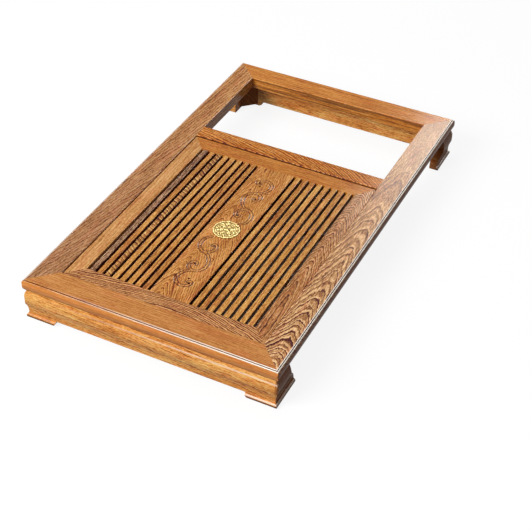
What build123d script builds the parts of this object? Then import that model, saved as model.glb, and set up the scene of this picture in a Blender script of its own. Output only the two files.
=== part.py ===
"""Gongfu tea table: a low hardwood tray table.

A mitred top frame with an ice-plate edge stands on bulging aprons and bracket feet. The front bay
holds a lift-out slatted drain panel over a steel water tray, and the back bay is open for a kettle
set. X runs across the table, Y along it towards the kettle bay, Z up. The origin is on the floor,
under the middle of the table.
"""
import os
from math import atan2, degrees, sqrt

from build123d import *

# ---------------------------------------------------------------- driving dimensions, millimetres
# Whole table
WIDTH = 460.0
LENGTH = 780.0
HEIGHT = 80.0
CORNER_R = 4.0  # rounding of the vertical corners
CORNER_MARGIN = 0.1  # the block that rounds the corners stands this far off the mouldings

# Top frame
FRAME_T = 22.0
RAIL_W = 48.0
CROSS_W = 33.0
KETTLE_BAY = 200.0  # length of the open bay along the table
BAY_ARRIS_R = 1.6  # rounded top edge of both bays

# Ice-plate edge of the top frame: a flat, a sunk quirk, then a bead that rolls into a bull nose
FLAT_INSET = 5.0
FLAT_ARRIS_R = 0.6
QUIRK_INSET = 4.5
QUIRK_DROP = 2.6
BEAD_INSET = 2.7  # where the bead leaves the nose
BEAD_DROP = 1.8
NOSE_DROP = 9.5
TUCK_INSET = 4.5

# Aprons and feet: a shoulder that swells out, an ogee back in, and a rolled lip at the floor
SHOULDER_INSET = 6.2
SWELL_INSET = 1.0
SWELL_Z = 39.0
WAIST_INSET = 5.6
WAIST_Z = 15.0
LIP_INSET = 2.2
LIP_H = 8.6
TOE_INSET = 4.4  # face of the lip at the floor
BASE_INNER_INSET = 20.0  # inner face of aprons and feet
APRON_CLEAR = 10.0  # free height under the aprons
FOOT_W = 58.0  # foot length along the short side
FOOT_TOE_RUN = 8.0  # how far the rounded toe of a foot draws back at the floor
FOOT_L = 69.0  # foot length along the long side
LEG_L = 49.0  # leg length along the long side, under the frame
LEG_NECK_Z = 47.0  # height where the leg starts to flare
TOE_R = 3.0

# Joints of the top frame
SPLINE_T = 5.0
SPLINE_L = 32.0  # along the mitre
SPLINE_W = 26.0  # across the mitre
CROSS_TENON_L = 18.0
CROSS_TENON_T = 8.0
CROSS_TENON_SHOULDER = 6.0

# Water-tray compartment under the front bay
BOARD_T = 12.0
BOARD_BOTTOM = 24.0
DADO = 4.0
LEDGE_W = 8.0
LEDGE_H = 12.0
RUNNER_W = 30.0
RUNNER_H = 6.0
BLOCK_GAP = 2.0  # glue blocks stop this short of the leg's end and the compartment's corner
BLOCK_LIFT = 3.0  # height of the glue blocks above the floor

# Slatted panel
PANEL_RECESS = 2.5
PANEL_T = 15.0
PANEL_GAP = 1.0  # gap round the panel in its bay
PANEL_STILE_W = 28.0
PANEL_FRONT_W = 28.0  # width of the panel's front rail
PANEL_BACK_W = 32.0  # width of its back rail, next to the kettle bay
PANEL_ARRIS_R = 0.8
SLOT_W = 4.8
SLATS_PER_SIDE = 8
SLAT_W = 9.3
INFILL_T = 6.5
SLAT_ARRIS_R = 0.8
TENON_L = 6.0
TENON_T = 3.5
TENON_SHOULDER = 1.0
MORTISE_SLACK = 0.8  # free depth past the end of a slat's tenon
BATTEN_W = 8.0
BATTEN_TENON_L = 8.0
BATTEN_SPACING = 136.0
PANEL_SPLINE_T = 3.0
PANEL_SPLINE_L = 20.0
PANEL_SPLINE_W = 14.0

# Brass medallion
MEDALLION_R = 23.7
MEDALLION_PETALS = 12
LOBE_DEPTH = 1.4
LOBE_NOTCH_R = 2.2
MEDALLION_T = 1.9
MEDALLION_SEAT = 0.8
MEDALLION_RIM_W = 4.4
MEDALLION_RISE = 0.7  # from the rim up to the boss
MEDALLION_BOSS_R = 5.5
MEDALLION_BOSS_H = 0.5
PETAL_GROOVE_R = 1.2
PETAL_GROOVE_DEPTH = 0.35

# Steel water tray
TRAY_GAP = 1.5  # gap between the tray's rim and the panel's ledges
TRAY_SHEET = 1.0
TRAY_RIM_W = 3.5
TRAY_RIM_DROP = 5.5  # rim below the underside of the slatted panel
TRAY_CORNER_R = 20.0
TRAY_FLOOR_R = 6.0
TRAY_DRAFT = 4.0  # degrees

# Fit
SEAT_GAP = 0.3  # between a loose piece and what it rests on

# ---------------------------------------------------------------- places worked out from the sizes
HALF_X = WIDTH / 2
HALF_Y = LENGTH / 2
FRAME_BOTTOM = HEIGHT - FRAME_T
BAY_X = HALF_X - RAIL_W
PANEL_BAY_Y0 = -HALF_Y + RAIL_W
KETTLE_BAY_Y1 = HALF_Y - RAIL_W
KETTLE_BAY_Y0 = KETTLE_BAY_Y1 - KETTLE_BAY
PANEL_BAY_Y1 = KETTLE_BAY_Y0 - CROSS_W

PANEL_TOP = HEIGHT - PANEL_RECESS
PANEL_BOTTOM = PANEL_TOP - PANEL_T
PANEL_X = BAY_X - PANEL_GAP
PANEL_Y0 = PANEL_BAY_Y0 + PANEL_GAP
PANEL_Y1 = PANEL_BAY_Y1 - PANEL_GAP
GRILLE_X = PANEL_X - PANEL_STILE_W
GRILLE_Y0 = PANEL_Y0 + PANEL_FRONT_W
GRILLE_Y1 = PANEL_Y1 - PANEL_BACK_W
GRILLE_MID_Y = (GRILLE_Y0 + GRILLE_Y1) / 2
PITCH = SLAT_W + SLOT_W
CENTRE_BOARD_X = GRILLE_X - SLATS_PER_SIDE * PITCH - SLOT_W
INFILL_BOTTOM = PANEL_TOP - INFILL_T

LEDGE_TOP = PANEL_BOTTOM - SEAT_GAP
LEDGE_X = BAY_X - LEDGE_W
RUNNER_TOP = BOARD_BOTTOM + RUNNER_H
INNER_X = HALF_X - BASE_INNER_INSET
INNER_Y = HALF_Y - BASE_INNER_INSET
BLOCK_LEG = min(LEG_L - BASE_INNER_INSET, 2 * (RAIL_W - BOARD_T - BASE_INNER_INSET)) - BLOCK_GAP
TRAY_BOTTOM = RUNNER_TOP + SEAT_GAP
TRAY_TOP = PANEL_BOTTOM - TRAY_RIM_DROP
TRAY_X = LEDGE_X - TRAY_GAP
TRAY_Y0 = PANEL_BAY_Y0 + LEDGE_W + TRAY_GAP
TRAY_Y1 = PANEL_BAY_Y1 - LEDGE_W - TRAY_GAP

NEAR = 0.01  # edges this close to a place lie on it

SIDES = {"left": -1, "right": 1}
ENDS = {"front": -1, "back": 1}


# ---------------------------------------------------------------- helpers
def block(x0, x1, y0, y1, z0, z1):
    """Box between two corners, given in any order along each axis."""
    (x0, x1), (y0, y1), (z0, z1) = sorted((x0, x1)), sorted((y0, y1)), sorted((z0, z1))
    return Pos((x0 + x1) / 2, (y0 + y1) / 2, (z0 + z1) / 2) * Box(x1 - x0, y1 - y0, z1 - z0)


def prism(points, z0, z1):
    """Upright prism over a polygon in plan."""
    return Pos(0, 0, z0) * extrude(make_face(Polyline(*points, close=True)), z1 - z0)


def moulded_blank(section_of, inset, z0, z1):
    """Solid whose four sides carry one moulding, mitred and then rounded where two sides meet."""
    across = extrude(Plane.XZ * section_of(HALF_X), HALF_Y, both=True)
    along = extrude(Plane.YZ * section_of(HALF_Y), HALF_X, both=True)
    grow = CORNER_MARGIN - inset
    arc_r = CORNER_R + (2 + sqrt(2)) * CORNER_MARGIN  # cuts each diagonal where CORNER_R would
    plan = RectangleRounded(WIDTH + 2 * grow, LENGTH + 2 * grow, arc_r)
    return across & along & Pos(0, 0, z0) * extrude(plan, z1 - z0)


class Border:
    """A mitred border in plan, from its outer and inner rectangles (half width, front, back)."""

    def __init__(self, outer, inner):
        self.rectangles = outer, inner

    def mitre(self, side, end):
        """Outer and inner point of the mitre at one corner."""
        return [(side * half_x, front if end < 0 else back) for half_x, front, back in self.rectangles]

    def end_region(self, end):
        """Plan region of the front or back member."""
        (left_out, left_in), (right_out, right_in) = self.mitre(-1, end), self.mitre(1, end)
        return [left_out, right_out, right_in, left_in]

    def side_region(self, side):
        """Plan region of the left or right member."""
        (front_out, front_in), (back_out, back_in) = self.mitre(side, -1), self.mitre(side, 1)
        return [front_out, back_out, back_in, front_in]

    def splines(self, z_mid, length, width, thickness):
        """Loose splines across the four mitres."""
        shapes = []
        for side in (-1, 1):
            for end in (-1, 1):
                (x0, y0), (x1, y1) = self.mitre(side, end)
                turn = Rot(0, 0, degrees(atan2(y1 - y0, x1 - x0)))
                shapes.append(Pos((x0 + x1) / 2, (y0 + y1) / 2, z_mid) * turn * Box(length, width, thickness))
        return shapes


# ---------------------------------------------------------------- sections of the two mouldings
def frame_section(half):
    """Full section of the top frame between its outer edges, with the ice-plate edge on both."""
    flat_end = (half - FLAT_INSET - FLAT_ARRIS_R, HEIGHT)
    arris = (half - FLAT_INSET, HEIGHT - FLAT_ARRIS_R)
    quirk = (half - QUIRK_INSET, HEIGHT - QUIRK_DROP)
    bead = (half - BEAD_INSET, HEIGHT - BEAD_DROP)
    nose = (half, HEIGHT - NOSE_DROP)
    tuck = (half - TUCK_INSET, FRAME_BOTTOM)
    upper_nose = TangentArc(nose, bead, tangent=(0, 1))
    outline = Curve() + [
        Line((0, HEIGHT), flat_end),
        TangentArc(flat_end, arris, tangent=(1, 0)),
        Line(arris, quirk),
        TangentArc(bead, quirk, tangent=upper_nose % 1),
        upper_nose,
        TangentArc(nose, tuck, tangent=(0, -1)),
        Line(tuck, (0, FRAME_BOTTOM)),
        Line((0, FRAME_BOTTOM), (0, HEIGHT)),
    ]
    face = make_face(outline)
    return face + mirror(face, Plane.YZ)


def base_section(half):
    """Full section of the base between its outer faces: shoulder, swell, ogee, waist and lip."""
    shoulder = (half - SHOULDER_INSET, FRAME_BOTTOM)
    swell = (half - SWELL_INSET, SWELL_Z)
    waist = (half - WAIST_INSET, WAIST_Z)
    inflection = ((swell[0] + waist[0]) / 2, (swell[1] + waist[1]) / 2)
    lip_top = (half - WAIST_INSET, LIP_H)
    outline = Curve() + [
        Line((0, FRAME_BOTTOM), shoulder),
        TangentArc(swell, shoulder, tangent=(0, 1)),
        TangentArc(swell, inflection, tangent=(0, -1)),
        TangentArc(waist, inflection, tangent=(0, 1)),
        Line(waist, lip_top),
        ThreePointArc(lip_top, (half - LIP_INSET, LIP_H / 2), (half - TOE_INSET, 0)),
        Line((half - TOE_INSET, 0), (0, 0)),
        Line((0, 0), (0, FRAME_BOTTOM)),
    ]
    face = make_face(outline)
    return face + mirror(face, Plane.YZ)


# ---------------------------------------------------------------- top frame
def top_frame_blank():
    """The whole top frame as one moulded plate with its two bays and their rounded edges."""
    blank = moulded_blank(frame_section, 0, FRAME_BOTTOM, HEIGHT)
    for y0, y1 in ((PANEL_BAY_Y0, PANEL_BAY_Y1), (KETTLE_BAY_Y0, KETTLE_BAY_Y1)):
        blank -= block(-BAY_X, BAY_X, y0, y1, FRAME_BOTTOM, HEIGHT)
    inside = [
        edge
        for edge in blank.edges().filter_by_position(Axis.Z, HEIGHT - NEAR, HEIGHT + NEAR)
        if abs(edge.center().X) <= BAY_X + NEAR and abs(edge.center().Y) <= KETTLE_BAY_Y1 + NEAR
    ]
    return fillet(inside, BAY_ARRIS_R)


def cross_rail_tenon(side):
    """Tenon of the cross rail into a long rail."""
    z_mid = (HEIGHT + FRAME_BOTTOM) / 2
    return block(
        side * BAY_X,
        side * (BAY_X + CROSS_TENON_L),
        PANEL_BAY_Y1 + CROSS_TENON_SHOULDER,
        KETTLE_BAY_Y0 - CROSS_TENON_SHOULDER,
        z_mid - CROSS_TENON_T / 2,
        z_mid + CROSS_TENON_T / 2,
    )


def top_frame():
    """Four mitred rails, the cross rail tenoned between them, and the splines in the mitres."""
    blank = top_frame_blank()
    border = Border((HALF_X, -HALF_Y, HALF_Y), (BAY_X, PANEL_BAY_Y0, KETTLE_BAY_Y1))
    splines = border.splines((HEIGHT + FRAME_BOTTOM) / 2, SPLINE_L, SPLINE_W, SPLINE_T)
    parts = {"mitre_splines": Compound(children=splines)}
    for name, end in ENDS.items():
        parts[f"rail_{name}"] = (blank & prism(border.end_region(end), FRAME_BOTTOM, HEIGHT)) - splines
    for name, side in SIDES.items():
        rail = (blank & prism(border.side_region(side), FRAME_BOTTOM, HEIGHT)) - splines
        parts[f"rail_{name}"] = rail - cross_rail_tenon(side)
    cross = blank & block(-BAY_X, BAY_X, PANEL_BAY_Y1, KETTLE_BAY_Y0, FRAME_BOTTOM, HEIGHT)
    parts["cross_rail"] = cross + cross_rail_tenon(-1) + cross_rail_tenon(1)
    return parts


# ---------------------------------------------------------------- aprons and feet
def base_ring():
    """The swelling base as one ring under the top frame, before it is cut into aprons and feet."""
    ring = moulded_blank(base_section, SWELL_INSET, 0, FRAME_BOTTOM)
    return ring - block(-INNER_X, INNER_X, -INNER_Y, INNER_Y, 0, FRAME_BOTTOM)


def under_apron():
    """Space under an apron between its two feet, whose toes round back towards the floor."""
    foot_x = HALF_X - FOOT_W
    floor_x = foot_x + FOOT_TOE_RUN
    outline = Curve() + [
        Line((-floor_x, 0), (floor_x, 0)),
        TangentArc((foot_x, APRON_CLEAR), (floor_x, 0), tangent=(0, -1)),
        Line((foot_x, APRON_CLEAR), (-foot_x, APRON_CLEAR)),
        TangentArc((-foot_x, APRON_CLEAR), (-floor_x, 0), tangent=(0, -1)),
    ]
    return extrude(Plane.XZ * make_face(outline), HALF_Y, both=True)


def between_feet():
    """Space along the long sides between the front and back legs, which flare to their feet."""
    neck, toe = HALF_Y - LEG_L, HALF_Y - FOOT_L
    inflection = ((neck + toe) / 2, (LEG_NECK_Z + LIP_H) / 2)
    half = Curve() + [
        Line((0, FRAME_BOTTOM), (neck, FRAME_BOTTOM)),
        Line((neck, FRAME_BOTTOM), (neck, LEG_NECK_Z)),
        TangentArc((neck, LEG_NECK_Z), inflection, tangent=(0, -1)),
        TangentArc((toe, LIP_H), inflection, tangent=(0, 1)),
        Line((toe, LIP_H), (toe, TOE_R)),
        TangentArc((toe, TOE_R), (toe + TOE_R, 0), tangent=(0, -1)),
        Line((toe + TOE_R, 0), (0, 0)),
        Line((0, 0), (0, FRAME_BOTTOM)),
    ]
    face = make_face(half)
    return extrude(Plane.YZ * (face + mirror(face, Plane.YZ)), HALF_X, both=True)


def base():
    """Two aprons with their feet, and four legs that return along the long sides."""
    ring = base_ring()
    border = Border((HALF_X, -HALF_Y, HALF_Y), (INNER_X, -INNER_Y, INNER_Y))
    arch, gap = under_apron(), between_feet()
    parts = {}
    for name, end in ENDS.items():
        parts[f"apron_{name}"] = (ring & prism(border.end_region(end), 0, FRAME_BOTTOM)) - arch
    for side_name, side in SIDES.items():
        legs = (ring & prism(border.side_region(side), 0, FRAME_BOTTOM)) - gap
        for leg in legs.solids():
            end_name = "front" if leg.center().Y < 0 else "back"
            parts[f"leg_{end_name}_{side_name}"] = leg
    return parts


def corner_blocks():
    """Triangular glue blocks that brace each corner of the base and tie it to the top frame."""
    parts = {}
    for end_name, end in ENDS.items():
        for side_name, side in SIDES.items():
            x, y = side * INNER_X, end * INNER_Y
            plan = [(x, y), (x - side * BLOCK_LEG, y), (x, y - end * BLOCK_LEG)]
            parts[f"corner_block_{end_name}_{side_name}"] = prism(plan, BLOCK_LIFT, FRAME_BOTTOM)
    return parts


# ---------------------------------------------------------------- water-tray compartment
def compartment():
    """Boards round the water tray, the ledges that carry the panel and the runners under the tray."""
    parts = {}
    out_x = BAY_X + BOARD_T
    y_out0, y_out1 = PANEL_BAY_Y0 - BOARD_T, PANEL_BAY_Y1 + BOARD_T
    cross_boards = {
        "front_board": block(-BAY_X - DADO, BAY_X + DADO, y_out0, PANEL_BAY_Y0, BOARD_BOTTOM, FRAME_BOTTOM),
        "divider_board": block(-BAY_X - DADO, BAY_X + DADO, PANEL_BAY_Y1, y_out1, BOARD_BOTTOM, FRAME_BOTTOM),
    }
    for name, side in SIDES.items():
        board = block(side * BAY_X, side * out_x, y_out0, y_out1, BOARD_BOTTOM, FRAME_BOTTOM)
        parts[f"side_board_{name}"] = board - list(cross_boards.values())
        parts[f"ledge_{name}"] = block(
            side * LEDGE_X, side * BAY_X, PANEL_BAY_Y0, PANEL_BAY_Y1, LEDGE_TOP - LEDGE_H, LEDGE_TOP
        )
        parts[f"runner_{name}"] = block(
            side * (BAY_X - RUNNER_W), side * BAY_X, PANEL_BAY_Y0, PANEL_BAY_Y1, BOARD_BOTTOM, RUNNER_TOP
        )
    parts |= cross_boards
    for name, y, end in (("front", PANEL_BAY_Y0, -1), ("back", PANEL_BAY_Y1, 1)):
        parts[f"ledge_{name}"] = block(
            -LEDGE_X, LEDGE_X, y, y - end * LEDGE_W, LEDGE_TOP - LEDGE_H, LEDGE_TOP
        )
    return parts


# ---------------------------------------------------------------- slatted panel
def infill_piece(x0, x1):
    """A slat or board between the panel's end rails, with eased top edges and a tenon at each end."""
    width, mid_x = x1 - x0, (x0 + x1) / 2
    half, r = width / 2, SLAT_ARRIS_R
    outline = Curve() + [
        Line((-half, -INFILL_T), (half, -INFILL_T)),
        Line((half, -INFILL_T), (half, -r)),
        TangentArc((half, -r), (half - r, 0), tangent=(0, 1)),
        Line((half - r, 0), (-half + r, 0)),
        TangentArc((-half, -r), (-half + r, 0), tangent=(0, 1)),
        Line((-half, -r), (-half, -INFILL_T)),
    ]
    bar = extrude(Plane.XZ * make_face(outline), (GRILLE_Y1 - GRILLE_Y0) / 2, both=True)
    bar = Pos(mid_x, GRILLE_MID_Y, PANEL_TOP) * bar
    return bar + infill_tenons(x0, x1, TENON_L)


def infill_tenons(x0, x1, length):
    """Both end tenons of one infill piece, or their mortises when given the mortise's depth."""
    z_mid = PANEL_TOP - INFILL_T / 2
    return block(
        x0 + TENON_SHOULDER,
        x1 - TENON_SHOULDER,
        GRILLE_Y0 - length,
        GRILLE_Y1 + length,
        z_mid - TENON_T / 2,
        z_mid + TENON_T / 2,
    )


def slat_spans():
    """Name and X span of each slat, numbered outwards from the centre board."""
    spans = {}
    for name, side in SIDES.items():
        for index in range(SLATS_PER_SIDE):
            inner = CENTRE_BOARD_X + SLOT_W + index * PITCH
            spans[f"slat_{name}_{index + 1}"] = tuple(sorted((side * inner, side * (inner + SLAT_W))))
    return spans


def top_edges(member):
    """Edges round the top face of one member of the panel's border."""
    return member.faces().sort_by(Axis.Z)[-1].edges()


def panel_border():
    """Mitred rails and stiles of the panel before they are morticed, and the splines in the mitres."""
    border = Border((PANEL_X, PANEL_Y0, PANEL_Y1), (GRILLE_X, GRILLE_Y0, GRILLE_Y1))
    z_mid = (PANEL_TOP + PANEL_BOTTOM) / 2
    splines = border.splines(z_mid, PANEL_SPLINE_L, PANEL_SPLINE_W, PANEL_SPLINE_T)
    parts = {}
    for name, end in ENDS.items():
        rail = prism(border.end_region(end), PANEL_BOTTOM, PANEL_TOP)
        outer_edge = top_edges(rail).sort_by(Axis.Y, reverse=end > 0)[0]
        parts[f"panel_rail_{name}"] = fillet(outer_edge, PANEL_ARRIS_R) - splines
    for name, side in SIDES.items():
        stile = prism(border.side_region(side), PANEL_BOTTOM, PANEL_TOP)
        parts[f"panel_stile_{name}"] = fillet(top_edges(stile).filter_by(Axis.Y), PANEL_ARRIS_R) - splines
    return parts, splines


def battens():
    """Cross battens under the slats, tenoned into the stiles."""
    parts = {}
    for name, end in ENDS.items():
        y = GRILLE_MID_Y + end * BATTEN_SPACING / 2
        bar = block(-GRILLE_X, GRILLE_X, y - BATTEN_W / 2, y + BATTEN_W / 2, PANEL_BOTTOM, INFILL_BOTTOM)
        tenon_t = (INFILL_BOTTOM - PANEL_BOTTOM) / 2
        z_mid = (INFILL_BOTTOM + PANEL_BOTTOM) / 2
        reach = GRILLE_X + BATTEN_TENON_L
        tenon = block(
            -reach, reach, y - BATTEN_W / 2, y + BATTEN_W / 2, z_mid - tenon_t / 2, z_mid + tenon_t / 2
        )
        parts[f"batten_{name}"] = bar + tenon
    return parts


def medallion():
    """Scalloped brass disc whose face rises in grooved petals to a boss in the middle."""
    rim_z = MEDALLION_T - MEDALLION_SEAT
    boss_z = rim_z + MEDALLION_RISE
    petal_r = MEDALLION_R - MEDALLION_RIM_W
    outline = Polyline(
        (0, -MEDALLION_SEAT),
        (MEDALLION_R, -MEDALLION_SEAT),
        (MEDALLION_R, rim_z),
        (petal_r, rim_z),
        (MEDALLION_BOSS_R, boss_z),
        (MEDALLION_BOSS_R, boss_z + MEDALLION_BOSS_H),
        (0, boss_z + MEDALLION_BOSS_H),
        close=True,
    )
    disc = revolve(Plane.XZ * make_face(outline), Axis.Z)
    notch = Cylinder(LOBE_NOTCH_R, 4 * MEDALLION_T)
    disc -= PolarLocations(MEDALLION_R - LOBE_DEPTH + LOBE_NOTCH_R, MEDALLION_PETALS) * notch
    run = petal_r - MEDALLION_BOSS_R
    groove_z = (rim_z + boss_z) / 2 + PETAL_GROOVE_R - PETAL_GROOVE_DEPTH
    fall = Rot(0, 90 + degrees(atan2(MEDALLION_RISE, run)), 0)
    groove = Pos(0, 0, groove_z) * fall * Cylinder(PETAL_GROOVE_R, run)
    disc -= PolarLocations((petal_r + MEDALLION_BOSS_R) / 2, MEDALLION_PETALS) * groove
    return Pos(0, GRILLE_MID_Y, PANEL_TOP) * disc


def slat_panel():
    """Mitred border, slats, centre board, battens and medallion of the lift-out panel."""
    parts, splines = panel_border()
    parts["panel_splines"] = Compound(children=splines)
    bars = battens()
    for name in SIDES:
        parts[f"panel_stile_{name}"] -= list(bars.values())
    spans = slat_spans()
    centre = (-CENTRE_BOARD_X, CENTRE_BOARD_X)
    mortises = [infill_tenons(*span, TENON_L + MORTISE_SLACK) for span in [centre, *spans.values()]]
    for name in ENDS:
        parts[f"panel_rail_{name}"] -= mortises
    slat = infill_piece(-SLAT_W / 2, SLAT_W / 2)
    for name, span in spans.items():
        parts[name] = Pos(sum(span) / 2, 0, 0) * slat

    seat = Pos(0, GRILLE_MID_Y, PANEL_TOP - MEDALLION_SEAT) * Cylinder(
        MEDALLION_R, MEDALLION_SEAT, align=(Align.CENTER, Align.CENTER, Align.MIN)
    )
    parts["centre_board"] = infill_piece(*centre) - seat
    parts["medallion"] = medallion()
    return parts | bars


# ---------------------------------------------------------------- steel water tray
def tray_shell(inset, floor_z, floor_r):
    """Drafted pan shape, inset from the outside of the tray's wall."""
    grow = TRAY_TOP - floor_z
    half_x = TRAY_X - TRAY_RIM_W - inset
    half_y = (TRAY_Y1 - TRAY_Y0) / 2 - TRAY_RIM_W - inset
    plan = RectangleRounded(2 * half_x, 2 * half_y, TRAY_CORNER_R - inset)
    pan = Pos(0, (TRAY_Y0 + TRAY_Y1) / 2, TRAY_TOP) * extrude(plan, -grow, taper=TRAY_DRAFT)
    return fillet(pan.faces().sort_by(Axis.Z)[0].edges(), floor_r)


def water_tray():
    """Pressed steel pan with rounded corners, drafted walls and a flat rim."""
    rim_plan = RectangleRounded(2 * TRAY_X, TRAY_Y1 - TRAY_Y0, TRAY_CORNER_R + TRAY_RIM_W)
    rim = Pos(0, (TRAY_Y0 + TRAY_Y1) / 2, TRAY_TOP - TRAY_SHEET) * extrude(rim_plan, TRAY_SHEET)
    outer = tray_shell(0, TRAY_BOTTOM, TRAY_FLOOR_R)
    inner = tray_shell(TRAY_SHEET, TRAY_BOTTOM + TRAY_SHEET, TRAY_FLOOR_R - TRAY_SHEET)
    return {"water_tray": (outer + rim) - inner}


# ---------------------------------------------------------------- build and write
def build():
    """Every piece of the table by node name."""
    return top_frame() | base() | corner_blocks() | compartment() | slat_panel() | water_tray()


os.makedirs("parts", exist_ok=True)
for node, piece in build().items():
    export_step(piece, f"parts/{node}.step")
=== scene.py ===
"""Looks of a gongfu tea table: a mitred hardwood frame on an apron with four bracket feet, a lift-out
slatted panel with a carved centre board and a brass medallion, and a steel tray under it.

Shapes, and marks on the wood, are in mm. The floor, the lamps and the camera are in metres.
"""

from math import cos, pi, radians, sin

import bpy
import numpy as np
from mathutils import Matrix, Vector

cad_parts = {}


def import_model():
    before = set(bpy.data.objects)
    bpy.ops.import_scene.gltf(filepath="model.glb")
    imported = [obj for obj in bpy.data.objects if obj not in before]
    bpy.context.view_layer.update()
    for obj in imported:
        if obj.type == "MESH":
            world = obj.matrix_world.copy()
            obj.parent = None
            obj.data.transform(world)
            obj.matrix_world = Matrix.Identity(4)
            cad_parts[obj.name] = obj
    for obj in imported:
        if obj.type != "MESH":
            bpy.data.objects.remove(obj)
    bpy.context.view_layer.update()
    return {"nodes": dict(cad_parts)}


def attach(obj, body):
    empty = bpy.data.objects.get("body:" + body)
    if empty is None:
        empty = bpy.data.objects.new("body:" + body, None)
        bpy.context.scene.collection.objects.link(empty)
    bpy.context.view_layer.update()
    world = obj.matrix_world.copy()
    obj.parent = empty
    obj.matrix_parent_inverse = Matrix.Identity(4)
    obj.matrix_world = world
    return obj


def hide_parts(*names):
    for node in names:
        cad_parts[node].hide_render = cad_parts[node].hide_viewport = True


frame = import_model()
NODES = frame["nodes"]
MM = 0.001


# ---------------------------------------------------------------- sizes of the CAD pieces

X, Y, Z = 0, 1, 2
LOW, HIGH = 0, 1


def corners(node):
    """Lowest and highest corner of a CAD node, in mm."""
    low, *_, high = sorted(tuple(corner) for corner in NODES[node].bound_box)
    return [[round(v / MM, 2) for v in corner] for corner in (low, high)]


HALF_X = corners("rail_right")[HIGH][X]
HALF_Y = corners("rail_back")[HIGH][Y]
TOP_Z = corners("rail_back")[HIGH][Z]
BAY_WALL_Y = corners("rail_back")[LOW][Y]  # the back rail's wall in the kettle bay
CROSS_WALL_Y = corners("cross_rail")[LOW][Y]  # the cross rail's wall over the panel
BOARD_LOW, BOARD_HIGH = corners("centre_board")
BOARD_X = BOARD_HIGH[X]
FACE_Z = BOARD_HIGH[Z]  # the upper face of the whole panel
SLAT_X = [corners(f"slat_right_{k}")[LOW][X] for k in (1, 2)]
SLAT_PITCH = round(SLAT_X[1] - SLAT_X[0], 2)
FIRST_SLOT_X = (BOARD_X + SLAT_X[0]) / 2  # the middle of the slot beside the centre board


# ---------------------------------------------------------------- node helpers


class Graph:
    """The shader nodes of a material or a world, written as nested calls."""

    def __init__(self, owner):
        owner.use_nodes = True
        self.owner = owner
        self.tree = owner.node_tree
        self.tree.nodes.clear()

    def node(self, kind, inputs=None, **settings):
        made = self.tree.nodes.new("ShaderNode" + kind)
        for key, value in settings.items():
            setattr(made, key, value)
        for key, value in (inputs or {}).items():
            self.feed(made.inputs[key], value)
        return made

    def feed(self, socket, value):
        if isinstance(value, bpy.types.NodeSocket):
            self.tree.links.new(value, socket)
        else:
            socket.default_value = value

    def math(self, operation, *values, clamp=False):
        made = self.node("Math", operation=operation, use_clamp=clamp)
        for socket, value in zip(made.inputs, values):
            self.feed(socket, value)
        return made.outputs[0]

    def add(self, first, *others):
        for other in others:
            first = self.math("ADD", first, other)
        return first

    def times(self, first, *others):
        for other in others:
            first = self.math("MULTIPLY", first, other)
        return first

    def swing(self, noise, size):
        """A noise of 0 to 1 as one that swings by half of size to both sides of 0."""
        return self.times(self.add(noise, -0.5), size)

    def along(self, low, high, value):
        """0 at low, 1 at high, smooth between. low may be the greater one."""
        made = self.node("MapRange", {"Value": value, "From Min": low, "From Max": high},
                         interpolation_type="SMOOTHSTEP")
        return made.outputs["Result"]

    def band(self, low, high, soft, value):
        """1 where value lies between low and high, falling to 0 over soft on both sides."""
        return self.times(self.along(low - soft, low, value), self.along(high + soft, high, value))

    def mix(self, factor, a, b, blend="MIX"):
        made = self.node("Mix", data_type="RGBA", blend_type=blend)
        made.clamp_factor = True
        factor_in, a_in, b_in = (made.inputs[k] for k in (0, 6, 7))  # 6 and 7 are its colours
        self.feed(factor_in, factor)
        self.feed(a_in, a)
        self.feed(b_in, b)
        return made.outputs[2]

    def ramp(self, factor, stops):
        made = self.node("ValToRGB", {"Fac": factor})
        ramp = made.color_ramp
        while len(ramp.elements) < len(stops):
            ramp.elements.new(0.5)
        for element, (place, colour) in zip(ramp.elements, stops):
            element.position = place
            element.color = colour
        return made.outputs["Color"]

    def noise(self, vector, scale=1.0, detail=3.0, roughness=0.5):
        made = self.node("TexNoise", {"Vector": vector, "Scale": scale, "Detail": detail,
                                      "Roughness": roughness})
        return made.outputs["Fac"]

    def curve(self, value, points):
        """A smooth curve through the points, with both axes from 0 to 1."""
        made = self.node("FloatCurve", {"Value": value})
        line = made.mapping.curves[0].points
        while len(line) < len(points):
            line.new(0.5, 0.5)
        for point, place in zip(line, points):
            point.location = place
        made.mapping.update()
        return made.outputs["Value"]

    def vector(self, x, y, z):
        return self.node("CombineXYZ", {"X": x, "Y": y, "Z": z}).outputs[0]

    def place(self):
        """The x, y and z of a place on the piece, in mm."""
        split = self.node("SeparateXYZ", {"Vector": self.node("TexCoord").outputs["Object"]})
        return [self.times(metres, 1 / MM) for metres in split.outputs]

    def bump(self, height, strength, distance):
        return self.node("Bump", {"Strength": strength, "Distance": distance,
                                  "Height": height}).outputs[0]

    def finish(self, shader, output="OutputMaterial"):
        self.tree.links.new(shader.outputs[0], self.node(output).inputs["Surface"])
        return self.owner


def rgb(red, green, blue):
    """A colour given in display values of 0 to 255, as the linear colour that a node takes."""
    def linear(value):
        value /= 255
        return value / 12.92 if value <= 0.04045 else ((value + 0.055) / 1.055) ** 2.4
    return (linear(red), linear(green), linear(blue), 1.0)


def grey(value):
    return (value, value, value, 1.0)


# ---------------------------------------------------------------- wood

GRAIN = {"x": (X, Y, Z), "y": (Y, X, Z)}  # the axes of a board's length, width and depth
REACH = 400.0  # mm of a board's length each way that a course covers
CLIMB = 500.0  # mm that a course can climb each way
COAT_HAZE = 0.02  # the white room in the lacquer, which lightens every tone under it
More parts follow.
